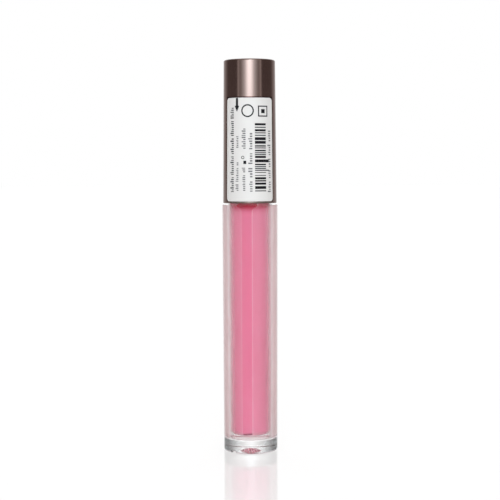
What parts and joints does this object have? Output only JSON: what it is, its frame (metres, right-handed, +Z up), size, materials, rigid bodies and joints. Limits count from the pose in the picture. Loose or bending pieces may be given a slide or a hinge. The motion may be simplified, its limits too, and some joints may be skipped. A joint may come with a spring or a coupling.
{
  "type": "lip gloss tube",
  "caption": "Slim round lip gloss tube: thick clear bottle over a pink-filled vial, tall metallised screw cap with a film label, and a flocked wand that draws out through a wiper.",
  "frame": {"origin": "middle of the bottle's base, on the surface it stands on", "axes": "+Z up the tube's axis towards the cap's top; the label faces -Y; +X to the right of the label"},
  "size_m": [0.017, 0.017, 0.12],
  "materials": {
    "clear_plastic": "clear polished overmoulding",
    "vial_plastic": "milky translucent",
    "gloss_fill": "translucent pink lip gloss",
    "wiper_plastic": "natural polyethylene",
    "seal_rubber": "soft white elastomer",
    "metallised_shell": "metallised taupe, satin",
    "liner_plastic": "natural polypropylene",
    "stem_plastic": "moulded, coated with gloss",
    "tip_elastomer": "soft white elastomer",
    "flock": "short nylon flock, wet with gloss",
    "label_film": "white printed film"
  },
  "bodies": {
    "bottle": {"bottle_shell": "clear_plastic", "inner_vial": "vial_plastic", "wiper": "wiper_plastic", "lip_gloss": "gloss_fill"},
    "seal": {"sealing_ring": "seal_rubber"},
    "cap": {"cap_shell": "metallised_shell", "cap_liner": "liner_plastic", "applicator_stem": "stem_plastic", "tip_core": "tip_elastomer", "tip_flocking": "flock", "label": "label_film"}
  },
  "joints": [
    {"name": "wand_lift", "type": "slide", "parent": "bottle", "child": "seal", "axis": [0, 0, 1], "range_m": [0, 0.09]},
    {"name": "cap_turn", "type": "hinge", "parent": "seal", "child": "cap", "pos_m": [0, 0, 0.0815], "axis": [0, 0, 1], "range_deg": [0, 540]}
  ]
}
